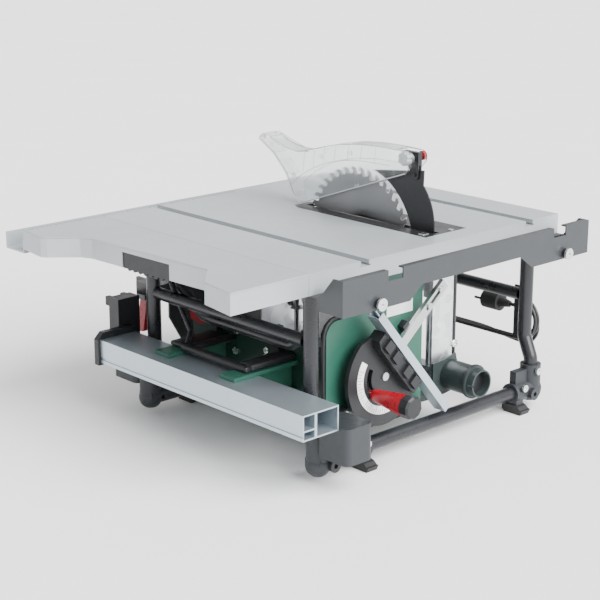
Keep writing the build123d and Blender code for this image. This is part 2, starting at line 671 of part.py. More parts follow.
with BuildPart() as gauge_scale:
    with BuildSketch(gauge_plane(head_y1 + 0.8)) as band:
        with BuildLine():
            CenterArc((0, 0), 64, 195, 150)
            CenterArc((0, 0), 50, 195, 150)
            Line(64 * heading(195), 50 * heading(195))
            Line(64 * heading(345), 50 * heading(345))
        make_face()
    extrude(band.sketch, amount=0.8)
save(gauge_scale, "gauge_scale")

with BuildPart() as gauge_fence:
    s0, s1 = fence_s, fence_s + fence_thick
    plate(gauge_plane(fence_y1), [(-146, s0), (111, s0), (111, s1), (-146, s1)], fence_y1 - fence_y0)
    plate(gauge_plane(fence_y1 - 2), [(-147, s0 + 2), (112, s0 + 2), (112, s1 - 2), (-147, s1 - 2)],
          fence_y1 - fence_y0 - 4, Mode.SUBTRACT)
    plate(gauge_plane(fence_y0 + 16), [(-147, s1 - 3), (112, s1 - 3), (112, s1 + 1), (-147, s1 + 1)], 6,
          Mode.SUBTRACT)
save(gauge_fence, "gauge_fence")

handle_t, handle_s = -3.0, -36.0
handle_y0 = head_y1 + 1.5
with BuildPart() as gauge_handle:
    with BuildSketch(gauge_plane(handle_y0)) as foot:
        with Locations((handle_t, handle_s)):
            Circle(9)
    extrude(foot.sketch, amount=-6)
    disc(gauge_plane(handle_y0 - 0.1), [(handle_t, handle_s)], 4, 9)
    with BuildSketch(gauge_plane(handle_y0 + 6)) as thin:
        with Locations((handle_t, handle_s)):
            Circle(11)
    with BuildSketch(gauge_plane(handle_y0 + 72)) as fat:
        with Locations((handle_t, handle_s)):
            RegularPolygon(19, 10)
    loft([thin.sketch, fat.sketch])
save(gauge_handle, "gauge_handle")
with BuildPart() as handle_cap:
    with BuildSketch(gauge_plane(handle_y0 + 90)) as cap:
        with Locations((handle_t, handle_s)):
            RegularPolygon(19.5, 10)
    extrude(cap.sketch, amount=18)
    chamfer(handle_cap.faces().sort_by(Axis.Y)[-1].edges(), 3)
save(handle_cap, "handle_cap")

# ---- rip fence, stored under the extension -------------------------------------------------------------

fence_x0, fence_x1 = 588.0, 663.0
fence_z0, fence_z1 = -242.0, -200.0
fence_front, fence_rear = 74.0, 590.0
fence_wall = 2.5
with BuildPart() as rip_fence:
    block(fence_x0, fence_x1, fence_front, fence_rear, fence_z0, fence_z1)
    for x0, x1, z0, z1 in ((fence_x0, 636, fence_z0, fence_z1), (636, fence_x1, fence_z0, -225),
                           (636, fence_x1, -227.5, fence_z1)):
        block(x0 + fence_wall, x1 - fence_wall, fence_front - 1, fence_rear + 1,
              z0 + fence_wall, z1 - fence_wall, Mode.SUBTRACT)
    block(fence_x1 - 1.6, fence_x1 + 1, fence_front - 1, fence_rear + 1, -236, -231, Mode.SUBTRACT)
save(rip_fence, "rip_fence")

lever_pin = (26.0, -150.0)
with BuildPart() as fence_head:
    with BuildSketch(along(fence_front)) as head_face:
        with BuildLine():
            Polyline((590, -246), (668, -246), (668, -200), (656, -188), (590, -188), close=True)
        make_face()
    extrude(head_face.sketch, amount=12)
    block(590, 614, 34, 62, -246, -188)
    block(568, 614, 34, 62, -212, -140)
    for x in (570, 602):
        plate(across(x), [(20, -142), (20, -158), (34, -158), (34, -142)], 9)
    disc(across(570), [lever_pin], 3, 41)
save(fence_head, "fence_head")

with BuildPart() as fence_lever:
    disc(across(580), [lever_pin], 6.5, 21)
    plate(across(582), [(20, -150), (32, -150), (30, -186), (20, -206), (12, -204), (19, -182)], 17)
    disc(across(575), [lever_pin], 3 + run_gap, 30, Mode.SUBTRACT)
save(fence_lever, "fence_lever")

with BuildPart() as fence_hooks:
    for y in (218, 387):
        block(503.5, 640, y - 18, y + 18, fence_z1 + 0.5, fence_z1 + 7)
        block(503.5, 580, y - 4, y + 4, -246, fence_z1 + 0.5)
        block(503.5, 620, y - 18, y + 18, -249, fence_z0 - 0.4)
        block(586, 587.5, y - 18, y + 18, fence_z0 - 0.4, fence_z1 + 0.5)
save(fence_hooks, "fence_hooks")

# ---- push stick, switch and extension lock --------------------------------------------------------------

with BuildPart() as push_stick:
    with BuildSketch(across(516)) as stick:
        with BuildLine():
            Polyline((150, -156), (170, -142), (376, -143), (404, -150), (404, -160), (392, -166),
                     (376, -161), (230, -160), (176, -176), (152, -172), close=True)
        make_face()
        with Locations((172, -158)):
            Circle(7, mode=Mode.SUBTRACT)
    extrude(stick.sketch, amount=8)
save(push_stick, "push_stick")

switch_y = front_panel_y - 4
with BuildPart() as switch_housing:
    block(186, 244, -2, switch_y, -132, -64)
    fillet(switch_housing.faces().sort_by(Axis.Y)[0].edges(), 2)
    block(192, 213, -3, 13, -114, -82, Mode.SUBTRACT)
    block(217, 238, -3, 13, -114, -82, Mode.SUBTRACT)
save(switch_housing, "switch_housing")
for name, x0, out in (("start_button", 192, -4), ("stop_button", 217, -8)):
    with BuildPart() as button:
        block(x0 + 0.4, x0 + 20.6, out, 9, -113.6, -82.4)
        fillet(button.faces().sort_by(Axis.Y)[0].edges(), 1.5)
    save(button, name)

lock_pin = (30.0, -150.0)
with BuildPart() as extension_lever:
    disc(across(519), [lock_pin], 9, 18)
    plate(across(521), [(22, -150), (39, -150), (36, -180), (27, -222), (13, -224), (17, -180)], 14)
    disc(across(515), [lock_pin], 3 + run_gap, 30, Mode.SUBTRACT)
save(extension_lever, "extension_lever")

with BuildPart() as lock_bracket:
    block(510, 562, 46, 99, -140, -118)
    for x in (512, 537.5):
        plate(across(x), [(22, -118), (22, -158), (46, -158), (46, -118)], 6.5)
    disc(level(-100), [(post_xs[1], post_front_y)], tube_r, -60, Mode.SUBTRACT)
    disc(across(513), [lock_pin], 3, 30)
save(lock_bracket, "lock_bracket")

# ---- mains cord: wound on two hooks at the left side -----------------------------------------------------

cord_r = 3.5
coil_z, coil_front_y, coil_rear_y = -203.0, 150.0, 478.0
coil_r = 38.0
strand_xs = (19.4, 12.1, 4.8)
gland_x = 160.0

with BuildPart() as cord_coil:
    with BuildSketch(across(strand_xs[-1] - cord_r)) as winding:
        with Locations(((coil_front_y + coil_rear_y) / 2, coil_z)):
            SlotCenterToCenter(coil_rear_y - coil_front_y, 2 * (coil_r + cord_r))
            SlotCenterToCenter(coil_rear_y - coil_front_y, 2 * (coil_r - cord_r), mode=Mode.SUBTRACT)
    extrude(winding.sketch, amount=strand_xs[0] - strand_xs[-1] + 2 * cord_r)
save(cord_coil, "cord_coil")

feed_route = [(gland_x, 42, -200), (128, 43, -203), (95, 46, -210), (62, 53, -220), (33, 67, -231),
              (15, 94, -239), (16, 124, -241), (19.4, 152, -241)]
tail_route = [(4.8, 385, -241), (0, 415, -247), (-6, 447, -254), (-8, 480, -256), (-8, 499.5, -236.5),
              (-8, 499.5, -208.9), (-8, 480, -189.4), (-8, 453, -190), (-8, 433, -191)]


def cord_bends(route):
    """The bend radius at each inner point: as large as its two runs allow."""
    bends = []
    for before, here, after in zip(route, route[1:], route[2:]):
        run_in, run_out = Vector(here) - Vector(before), Vector(after) - Vector(here)
        turn = radians(run_in.get_angle(run_out))
        bends.append(0.45 * min(run_in.length, run_out.length) / tan(turn / 2))
    return bends


for name, route in (("cord_feed", feed_route), ("cord_tail", tail_route)):
    bends = cord_bends(route)
    with BuildPart() as cord:
        pipe(route, bends, cord_r, 0)
    save(cord, name)
    print(name, "bend radii:", [round(bend, 1) for bend in bends])

plug_x, plug_z = -8.0, -191.0
with BuildPart() as plug:
    with BuildSketch(along(433)) as relief:
        with Locations((plug_x, plug_z)):
            Circle(6)
    with BuildSketch(along(411)) as shoulder:
        with Locations((plug_x, plug_z)):
            Circle(10)
    loft([relief.sketch, shoulder.sketch])
    disc(along(411), [(plug_x, plug_z)], 17.5, 36)
    disc(along(376), [(plug_x - 9.5, plug_z), (plug_x + 9.5, plug_z)], 2.4, 20)
save(plug, "plug")

# Plastic clips of the fixed part: cord gland, gauge clips, rail spacers, stick clips, cord hooks.
with BuildPart() as clips:
    disc(across(gland_x), [(42, -200)], 7, 16)
    disc(across(172), [(42, -200)], 10, 4)
    for s in (95, -88):
        plate(gauge_plane(bar_y0), [(-14, s - 7), (14, s - 7), (14, s + 7), (-14, s + 7)],
              bar_y0 - rear_panel_y)
    disc(along(rail_y + 7), spacer_spots, 8, 7)
    for y in (206, 366):
        block(503.5, 515.9, y - 6, y + 6, -190, -140)
    for y in (coil_front_y, coil_rear_y):
        block(23.4, 26, y - 8, y + 8, -240, -139)
        disc(across(-2), [(y, coil_z)], 9, 25.4)
        block(-3, 0.8, y - 8, y + 8, coil_z - 44, coil_z + 44)
save(clips, "clips")
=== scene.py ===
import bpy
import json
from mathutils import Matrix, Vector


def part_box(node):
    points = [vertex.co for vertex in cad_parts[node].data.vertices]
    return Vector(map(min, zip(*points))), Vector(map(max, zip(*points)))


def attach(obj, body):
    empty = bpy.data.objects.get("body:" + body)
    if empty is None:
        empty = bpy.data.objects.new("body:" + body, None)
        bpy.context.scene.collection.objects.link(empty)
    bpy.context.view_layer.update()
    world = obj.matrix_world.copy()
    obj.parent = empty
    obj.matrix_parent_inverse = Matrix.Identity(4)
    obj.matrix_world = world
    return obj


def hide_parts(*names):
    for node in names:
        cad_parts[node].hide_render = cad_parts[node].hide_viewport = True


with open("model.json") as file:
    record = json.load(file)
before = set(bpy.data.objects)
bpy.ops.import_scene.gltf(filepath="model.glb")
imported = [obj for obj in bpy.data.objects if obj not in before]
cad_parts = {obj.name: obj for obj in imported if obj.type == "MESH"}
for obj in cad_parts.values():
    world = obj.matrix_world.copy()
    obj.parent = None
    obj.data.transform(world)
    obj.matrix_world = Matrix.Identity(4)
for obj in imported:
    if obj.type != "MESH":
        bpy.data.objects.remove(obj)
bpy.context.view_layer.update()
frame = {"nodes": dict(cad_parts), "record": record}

import json
import math

import bmesh
import bpy
from mathutils import Vector

MM = 0.001
table_low, table_high = (Vector(c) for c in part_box("table_top"))
TABLE_CORNER = Vector((table_low.x, table_low.y, table_high.z))


def at(x, y, z):
    """A point in metres from saw coordinates: mm from the table's left front top corner."""
    return TABLE_CORNER + Vector((x, y, z)) * MM


def linked(name, data):
    """A new object of the data, linked to the scene."""
    item = bpy.data.objects.new(name, data)
    bpy.context.scene.collection.objects.link(item)
    return item


# ---- camera ------------------------------------------------------------------------------

CAMERA_PLACE = (2118.4, 2154.2, 597.4)
CAMERA_TILT, CAMERA_HEADING = 73.917, 137.178
CAMERA_LENS, SENSOR_WIDTH = 91.17, 36.0


def add_camera():
    """The camera behind the saw's right rear corner."""
    data = bpy.data.cameras.new("camera")
    data.lens = CAMERA_LENS
    data.sensor_width = SENSOR_WIDTH
    camera = linked("camera", data)
    camera.location = at(*CAMERA_PLACE)
    camera.rotation_euler = (math.radians(CAMERA_TILT), 0, math.radians(CAMERA_HEADING))
    bpy.context.scene.camera = camera


add_camera()

# ---- material tools ----------------------------------------------------------------------

NOISE_LOW, NOISE_HIGH = 0.3, 0.7  # most of a noise texture's values lie between these
MICRON = 1e-6


class Shader:
    """A Principled material with short calls for the nodes that the finishes share."""

    def __init__(self, name):
        self.material = bpy.data.materials.new(name)
        self.material.use_nodes = True
        self.nodes = self.material.node_tree.nodes
        self.links = self.material.node_tree.links
        self.bsdf = self.nodes["Principled BSDF"]
        self.place = self.nodes.new("ShaderNodeTexCoord").outputs["Object"]
        self.normal = None

    def set(self, **values):
        """Sets Principled inputs, with an underscore for each space in a socket's name."""
        for socket, value in values.items():
            self.bsdf.inputs[socket.replace("_", " ")].default_value = value

    def mapped(self, scale):
        """Object coordinates scaled differently along each axis."""
        node = self.nodes.new("ShaderNodeMapping")
        node.inputs["Scale"].default_value = scale
        self.links.new(self.place, node.inputs["Vector"])
        return node.outputs["Vector"]

    def noise(self, scale, detail=4, rough=0.55, vector=None):
        node = self.nodes.new("ShaderNodeTexNoise")
        node.inputs["Scale"].default_value = scale
        node.inputs["Detail"].default_value = detail
        node.inputs["Roughness"].default_value = rough
        self.links.new(vector or self.place, node.inputs["Vector"])
        return node.outputs["Fac"]

    def cells(self, scale, feature="F1"):
        node = self.nodes.new("ShaderNodeTexVoronoi")
        node.feature = feature
        node.inputs["Scale"].default_value = scale
        self.links.new(self.place, node.inputs["Vector"])
        return node.outputs

    def spread(self, value, low, high, to_low, to_high):
        """Maps the range low..high of a value on to to_low..to_high."""
        node = self.nodes.new("ShaderNodeMapRange")
        node.inputs["From Min"].default_value = low
        node.inputs["From Max"].default_value = high
        node.inputs["To Min"].default_value = to_low
        node.inputs["To Max"].default_value = to_high
        self.links.new(value, node.inputs["Value"])
        return node.outputs["Result"]

    def math(self, kind, a, b=0):
        node = self.nodes.new("ShaderNodeMath")
        node.operation = kind
        for socket, value in zip(node.inputs, (a, b)):
            if isinstance(value, (int, float)):
                socket.default_value = value
            else:
                self.links.new(value, socket)
        return node.outputs["Value"]

    def ramp(self, value, *stops):
        """A colour ramp with (position, colour) stops."""
        node = self.nodes.new("ShaderNodeValToRGB")
        elements = node.color_ramp.elements
        while len(elements) < len(stops):
            elements.new(0.5)
        for element, (position, colour) in zip(elements, stops):
            element.position = position
            element.color = (*colour, 1)
        self.links.new(value, node.inputs["Fac"])
        return node.outputs["Color"]

    def mix(self, factor, a, b):
        node = self.nodes.new("ShaderNodeMix")
        node.data_type = "RGBA"
        self.links.new(factor, node.inputs["Factor"])
        for socket, value in ((node.inputs["A"], a), (node.inputs["B"], b)):
            if isinstance(value, tuple):
                socket.default_value = (*value, 1)
            else:
                self.links.new(value, socket)
        return node.outputs["Result"]

    def colour(self, value):
        self.links.new(value, self.bsdf.inputs["Base Color"])

    def roughness(self, value):
        self.links.new(value, self.bsdf.inputs["Roughness"])

    def mottle(self, value, colour, darkest, lightest):
        """Shades of one colour that follow a noise."""
        dark, light = shade_by(colour, darkest), shade_by(colour, lightest)
        return self.ramp(value, (NOISE_LOW, dark), (NOISE_HIGH, light))

    def sheen(self, value, smoothest, roughest):
        """Roughness that follows a noise."""
        self.roughness(self.spread(value, NOISE_LOW, NOISE_HIGH, smoothest, roughest))

    def bump(self, height, strength, microns):
        """Adds relief on top of any bump that is already there."""
        node = self.nodes.new("ShaderNodeBump")
        node.inputs["Strength"].default_value = strength
        node.inputs["Distance"].default_value = microns * MICRON
        self.links.new(height, node.inputs["Height"])
        if self.normal:
            self.links.new(self.normal, node.inputs["Normal"])
        self.normal = node.outputs["Normal"]
        self.links.new(self.normal, self.bsdf.inputs["Normal"])


def shade_by(colour, share):
    """A colour made darker or lighter, and kept within white."""
    return tuple(min(1.0, c * share) for c in colour)


def scuffs(shader, amount):
    """Sparse lighter rub marks, stretched and thin."""
    marks = shader.noise(95, detail=7, rough=0.75, vector=shader.mapped((1, 0.12, 0.6)))
    return shader.spread(marks, 0.62, 0.78, 0, amount)


def powder_coat(name, colour, rough, metal=0.1, grain=1500, depth=0.25, wear=0.1):
    """Baked powder paint: fine orange peel on slow waves, slow changes of shade and light rub marks."""
    rubbed = (0.35, 0.36, 0.37)
    s = Shader(name)
    s.set(Metallic=metal)
    base = s.mottle(s.noise(7, detail=3), colour, 0.97, 1.03)
    s.colour(s.mix(scuffs(s, wear), base, rubbed))
    s.sheen(s.noise(38, detail=6), rough - 0.06, rough + 0.06)
    s.bump(s.noise(grain, detail=2), depth, microns=60)
    s.bump(s.noise(grain / 9, detail=3), depth * 0.6, microns=120)
    return s.material


def moulded(name, colour, rough, grain=900, depth=0.35, worn=(0.16, 0.165, 0.17)):
    """Moulded plastic with a spark-eroded grain and faint flow marks."""
    s = Shader(name)
    flow = s.noise(14, vector=s.mapped((1, 0.4, 1)))
    base = s.ramp(flow, (0.3, shade_by(colour, 0.94)), (0.72, shade_by(colour, 1.07)))
    s.colour(s.mix(scuffs(s, amount=0.14), base, worn))
    s.sheen(s.noise(75, detail=5), rough - 0.07, rough + 0.07)
    s.set(Specular_IOR_Level=0.35)
    s.bump(s.cells(grain, "SMOOTH_F1")["Distance"], depth, microns=90)
    return s.material


def drawn_metal(name, colour, rough, along, metal=1.0):
    """Extruded or drawn metal: fine die lines run along one axis."""
    lines, stretch = 2400, 260.0
    s = Shader(name)
    s.set(Metallic=metal)
    scale = tuple(1.0 if axis == along else stretch for axis in "xyz")
    streak = s.noise(lines / stretch, detail=6, rough=0.65, vector=s.mapped(scale))
    slow = s.noise(5)
    blend = s.math("ADD", s.math("MULTIPLY", streak, 0.5), s.math("MULTIPLY", slow, 0.5))
    s.colour(s.ramp(blend, (0.38, shade_by(colour, 0.9)), (0.62, shade_by(colour, 1.07))))
    s.sheen(streak, rough - 0.08, rough + 0.1)
    s.bump(streak, 0.22, microns=50)
    return s.material


def plated(name, colour, rough):
    """Bright zinc: a slightly cloudy mirror with fine pits."""
    s = Shader(name)
    s.set(Metallic=1.0)
    cloud = s.noise(220, detail=5)
    s.colour(s.mottle(cloud, colour, 0.86, 1.08))
    s.sheen(cloud, rough - 0.08, rough + 0.12)
    s.bump(s.noise(1600, detail=2), 0.2, microns=40)
    return s.material


def galvanised_sheet(name, colour):
    """Hot-dip zinc with its large flat crystals."""
    s = Shader(name)
    s.set(Metallic=0.9)
    to_grey = s.nodes.new("ShaderNodeRGBToBW")
    s.links.new(s.cells(70)["Color"], to_grey.inputs["Color"])
    spangle = to_grey.outputs["Val"]
    s.colour(s.ramp(spangle, (0.2, shade_by(colour, 0.88)), (0.8, shade_by(colour, 1.1))))
    s.roughness(s.spread(spangle, 0, 1, 0.32, 0.5))
    s.bump(s.noise(700, detail=3), 0.15, microns=50)
    return s.material


def ground_disc(name, centre, colour):
    """Saw-blade steel: concentric grinding marks about the arbor, with the sheen that they give."""
    s = Shader(name)
    s.set(Metallic=1.0)
    split = s.nodes.new("ShaderNodeSeparateXYZ")
    s.links.new(s.place, split.inputs["Vector"])
    dy = s.math("SUBTRACT", split.outputs["Y"], centre.y)
    dz = s.math("SUBTRACT", split.outputs["Z"], centre.z)
    radius = s.math("SQRT", s.math("ADD", s.math("MULTIPLY", dy, dy), s.math("MULTIPLY", dz, dz)))
    join = s.nodes.new("ShaderNodeCombineXYZ")
    s.links.new(radius, join.inputs["X"])
    rings = s.noise(1700, rough=0.6, vector=join.outputs["Vector"])
    s.colour(s.mottle(rings, colour, 0.85, 1.1))
    s.sheen(rings, 0.27, 0.4)
    s.set(Anisotropic=0.85)
    tangent = s.nodes.new("ShaderNodeTangent")
    tangent.direction_type = "RADIAL"
    tangent.axis = "X"
    s.links.new(tangent.outputs["Tangent"], s.bsdf.inputs["Tangent"])
    s.bump(rings, 0.2, microns=30)
    return s.material


def clear_plastic(name):
    """Clear polycarbonate with faint moulding waves and light surface scuffs."""
    s = Shader(name)
    s.set(Transmission_Weight=1.0, IOR=1.42, Alpha=0.8)
    cool_tint, clear = (0.93, 0.96, 0.97), (0.99, 1.0, 1.0)
    s.colour(s.ramp(s.noise(18, detail=3), (NOISE_LOW, cool_tint), (NOISE_HIGH, clear)))
    marks = s.noise(260, detail=6, rough=0.7, vector=s.mapped((1, 0.25, 1)))
    s.roughness(s.spread(marks, 0.45, 0.75, 0.03, 0.16))
    s.bump(s.noise(45, detail=3), 0.16, microns=600)
    return s.material


def two_part_knob(name, middle, left, right):
    """The guard's pivot: a coloured knob on its left end and a bare metal hub on its right end."""
    s = Shader(name)
    split = s.nodes.new("ShaderNodeSeparateXYZ")
    s.links.new(s.place, split.inputs["Vector"])
    on_right = s.math("GREATER_THAN", split.outputs["X"], middle.x)
    cloud = s.noise(120)
    s.colour(s.mix(on_right, *(s.mottle(cloud, colour, 0.9, 1.1) for colour in (left, right))))
    s.links.new(s.math("MULTIPLY", on_right, 0.5), s.bsdf.inputs["Metallic"])
    s.sheen(cloud, 0.25, 0.4)
    s.bump(s.noise(900, detail=2), 0.2, microns=50)
    return s.material


def rubber_sheath(name, colour, rough):
    """Cord and foot rubber: dull, with a fine skin."""
    s = Shader(name)
    fine = s.noise(1300, detail=3)
    s.colour(s.mottle(s.noise(30), colour, 0.8, 1.3))
    s.sheen(fine, rough - 0.05, rough + 0.08)
    s.bump(fine, 0.3, microns=60)
    return s.material


def printed_label(name):
    """White film with a faint grey weave from its printing rollers."""
    s = Shader(name)
    grey, white = (0.74, 0.75, 0.75), (0.86, 0.87, 0.87)
    weave = s.cells(2600)["Distance"]
    s.colour(s.ramp(s.noise(55, detail=3), (0.35, grey), (0.65, white)))
    s.roughness(s.spread(weave, 0, 1, 0.3, 0.42))
    s.bump(weave, 0.1, microns=20)
    return s.material


BLADE_X = 268
BLADE_CENTRE = at(BLADE_X, 309.5, -40)
BLACK = (0.014, 0.015, 0.017)
CHARCOAL = (0.028, 0.031, 0.035)
GREEN = (0.024, 0.098, 0.068)
RED = (0.33, 0.004, 0.013)
SILVER = (0.46, 0.53, 0.58)
TABLE_GREY = (0.385, 0.415, 0.43)

FINISHES = {
    "table_aluminium": powder_coat("table_coat", TABLE_GREY, rough=0.40, metal=0.25, grain=1200),
    "extension_aluminium": powder_coat("extension_coat", shade_by(TABLE_GREY, 0.97), rough=0.40, metal=0.25,
                                       grain=1200),
    "insert_black": powder_coat("insert_coat", (0.017, 0.018, 0.020), rough=0.36, depth=0.2, wear=0.2),
    "rail_aluminium": drawn_metal("extruded_aluminium", SILVER, rough=0.36, along="y", metal=0.8),
    "rail_grey": powder_coat("rail_coat", (0.034, 0.038, 0.042), rough=0.42, depth=0.3),
    "tube_black": powder_coat("tube_coat", (0.016, 0.017, 0.020), rough=0.30, grain=1600),
    "casting_charcoal": moulded("casting_plastic", CHARCOAL, rough=0.44, grain=800, depth=0.45),
    "rubber_black": rubber_sheath("foot_rubber", (0.011, 0.011, 0.012), rough=0.62),
    "panel_black": moulded("black_plastic", BLACK, rough=0.40),
    "panel_green": moulded("green_plastic", GREEN, rough=0.36, grain=1000, depth=0.3,
                           worn=(0.10, 0.20, 0.16)),
    "label_white": printed_label("label_film"),
    "zinc": plated("zinc_plate", (0.80, 0.81, 0.82), rough=0.26),
    "galvanised": galvanised_sheet("galvanised_sheet", (0.70, 0.72, 0.73)),
    "steel": drawn_metal("bright_steel", (0.56, 0.57, 0.58), rough=0.28, along="x"),
    "carbide": plated("carbide", (0.60, 0.60, 0.61), rough=0.32),
    "cast_aluminium": powder_coat("cast_aluminium", (0.40, 0.41, 0.42), rough=0.48, metal=0.9, grain=700,
                                  depth=0.6, wear=0.2),
    "knife_black": powder_coat("knife_coat", (0.011, 0.012, 0.014), rough=0.32, grain=1700, depth=0.2,
                               wear=0.08),
    "clear_plastic": clear_plastic("clear_polycarbonate"),
    "red_plastic": moulded("red_plastic", RED, rough=0.30, grain=1100, depth=0.2, worn=(0.55, 0.08, 0.09)),
    "start_green": moulded("green_button", (0.02, 0.26, 0.05), rough=0.32, grain=1100, depth=0.22,
                           worn=(0.2, 0.5, 0.25)),
    "cord_black": rubber_sheath("cord_sheath", (0.010, 0.010, 0.011), rough=0.40),
}
INK = moulded("scale_ink", (0.012, 0.012, 0.013), rough=0.5, grain=1500, depth=0.1)
# the guard's ribs and rims are real, but their pale grey colour is a painted highlight on the clear plastic
GUARD_HIGHLIGHT_GREY = moulded("guard_rim_painted_highlight", (0.50, 0.54, 0.56), rough=0.25, grain=1500, depth=0.1)
NODE_FINISHES = {
    "saw_blade": ground_disc("blade_steel", BLADE_CENTRE, (0.27, 0.27, 0.28)),
    "guard_knob": two_part_knob("guard_pivot", BLADE_CENTRE, left=RED, right=(0.42, 0.44, 0.46)),
    "extension_rail": FINISHES["extension_aluminium"],
    "front_rail": FINISHES["table_aluminium"],
    # the side panel's green is cut to 0.28 of its colour: painted shade for its shaded side
    "side_panel": moulded("green_plastic_painted_shade", shade_by(GREEN, 0.28), rough=0.45, grain=1000, depth=0.3),
    "push_stick": moulded("dark_red_plastic", shade_by(RED, 0.55), rough=0.32, grain=1100, depth=0.2,
                          worn=(0.4, 0.05, 0.06)),
    "dust_trough": moulded("green_grey_plastic", (0.026, 0.036, 0.036), rough=0.38),
    "tilt_frame": galvanised_sheet("galvanised_bracket", (0.78, 0.80, 0.82)),
}


def dress_cad_nodes():
    """Gives each CAD node the finish of its slot, or one of its own."""
    for entry in frame["record"]["subparts"]:
        node = frame["nodes"][entry["node"]]
        finish = NODE_FINISHES.get(entry["node"], FINISHES[entry["material_slot"]])
        if not node.material_slots:
            node.data.materials.append(finish)
        for material_slot in node.material_slots:
            material_slot.material = finish


dress_cad_nodes()

# ---- mesh tools ----------------------------------------------------------------------------


def baked_mesh(name, mesh):
    """Mesh data made from a bmesh, which is freed."""
    data = bpy.data.meshes.new(name)
    mesh.to_mesh(data)
    mesh.free()
    return data


def mesh_piece(name, mesh, body, slot, finish=None):
    """A piece that rides a body, in its slot's finish unless another is given."""
    piece = linked(name, baked_mesh(name, mesh))
    piece.data.materials.append(finish or FINISHES[slot])
    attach(piece, body)
    return piece


def smooth_by_angle(piece, degrees=32):
    """Shades a piece smooth except along edges sharper than the angle."""
    for polygon in piece.data.polygons:
        polygon.use_smooth = True
    piece.data.set_sharp_from_angle(angle=math.radians(degrees))


def rounded_block(mesh, low, high, radius, segments=3):
    """Adds a box between two corners, in metres, with edges rounded by a radius in mm."""
    made = bmesh.ops.create_cube(mesh, size=1.0)
    size = high - low
    for vertex in made["verts"]:
        vertex.co = low + Vector((vertex.co[i] + 0.5) * size[i] for i in range(3))
    edges = {edge for vertex in made["verts"] for edge in vertex.link_edges}
    bmesh.ops.bevel(mesh, geom=list(edges), offset=radius * MM, segments=segments, affect="EDGES",
                    profile=0.5)


def lathe(mesh, start, direction, profile, steps):
    """Adds a turned solid: profile is a list of (distance along, radius), in mm."""
    direction = Vector(direction).normalized()
    side = direction.orthogonal().normalized()
    other = direction.cross(side)
    turns = [2 * math.pi * i / steps for i in range(steps)]
    rings = []
    for along, radius in profile:
        centre = start + direction * along * MM
        rings.append([mesh.verts.new(centre + (side * math.cos(t) + other * math.sin(t)) * radius * MM)
                      for t in turns])
    for ring, following in zip(rings, rings[1:]):
        for i in range(steps):
            j = (i + 1) % steps
            mesh.faces.new((ring[i], ring[j], following[j], following[i]))
    mesh.faces.new(list(reversed(rings[0])))
    mesh.faces.new(rings[-1])


def round_curve(name, kind, points, thickness, resolution):
    """A round wire, with its thickness in mm, along saw-coordinate points."""
    curve = bpy.data.curves.new(name, "CURVE")
    curve.dimensions = "3D"
    spline = curve.splines.new(kind)
    spline.points.add(len(points) - 1)
    for point, place in zip(spline.points, points):
        point.co = (*at(*place), 1)
    curve.bevel_depth = thickness / 2 * MM
    curve.bevel_resolution = resolution
    curve.use_fill_caps = True
    return curve


# ---- mains cord ------------------------------------------------------------------------------

CORD_D = 7.0
FEED = [(160, 42, -200), (128, 43, -203), (95, 46, -210), (62, 53, -220), (33, 67, -231),
        (15, 94, -239), (16, 124, -241), (19.4, 152, -241)]
TAIL = [(4.8, 385, -241), (0, 415, -247), (-6, 447, -254), (-8, 480, -256), (-8, 499.5, -236.5),
        (-8, 499.5, -208.9), (-8, 480, -189.4), (-8, 453, -190), (-8, 433, -191)]
COIL_Z, COIL_FRONT, COIL_REAR, COIL_R = -203.0, 150.0, 478.0, 38.0
STRANDS = (19.4, 12.1, 4.8)
RUN_POINTS, BEND_STEP = 6, 30
LAST_POINTS, LAST_STEP = 4, 56


def round_hook(x, hook_y, angle):
    """A point of the cord's bend round a hook."""
    angle = math.radians(angle)
    return x, hook_y + COIL_R * math.cos(angle), COIL_Z + COIL_R * math.sin(angle)


def coil_points():
    """Two whole turns on the hooks and the start of a third, stepping sideways at the front."""
    points = []
    reach = COIL_REAR - COIL_FRONT
    for turn, (x, next_x) in enumerate(zip(STRANDS, STRANDS[1:])):
        for i in range(1 if turn == 0 else 0, RUN_POINTS):
            points.append((x, COIL_FRONT + reach * i / RUN_POINTS, COIL_Z - COIL_R))
        for angle in range(-90, 91, BEND_STEP):
            points.append(round_hook(x, COIL_REAR, angle))
        for i in range(1, RUN_POINTS):
            points.append((x, COIL_REAR - reach * i / RUN_POINTS, COIL_Z + COIL_R))
        for angle in range(90, 270, BEND_STEP):
            share = (angle - 90) / 180
            points.append(round_hook(x + (next_x - x) * share, COIL_FRONT, angle))
    for i in range(LAST_POINTS):
        points.append((STRANDS[-1], COIL_FRONT + LAST_STEP * i, COIL_Z - COIL_R))
    return points


def add_cord():
    """The mains cord, from its gland round both hooks to its plug."""
    curve = round_curve("mains_cord", "NURBS", FEED + coil_points() + TAIL, CORD_D, resolution=5)
    spline = curve.splines[0]
    spline.order_u = 3
    spline.use_endpoint_u = True
    spline.resolution_u = 6
    cord = linked("mains_cord", curve)
    curve.materials.append(FINISHES["cord_black"])
    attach(cord, "frame")
    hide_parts("cord_feed", "cord_coil", "cord_tail")
    relief = add_strain_relief()


def add_strain_relief():
    """A tapered, grooved sleeve where the cord leaves its gland."""
    rings, pitch, taper, groove = 6, 5, 0.36, 0.8
    profile = [(0, 6.2)]
    for i in range(rings):
        along, radius = pitch * i, 6.0 - taper * i
        profile += [(along + 1.5, radius), (along + 3.5, radius),
                    (along + 4.0, radius - groove), (along + 5.2, radius - groove)]
    profile.append((33, 3.7))
    start, end = at(*FEED[0]), at(*FEED[1])
    mesh = bmesh.new()
    lathe(mesh, start, end - start, profile, steps=32)
    sleeve = mesh_piece("strain_relief", mesh, "frame", "rubber_black")
    smooth_by_angle(sleeve)
    return sleeve


add_cord()

# ---- details on the finished parts ------------------------------------------------------------


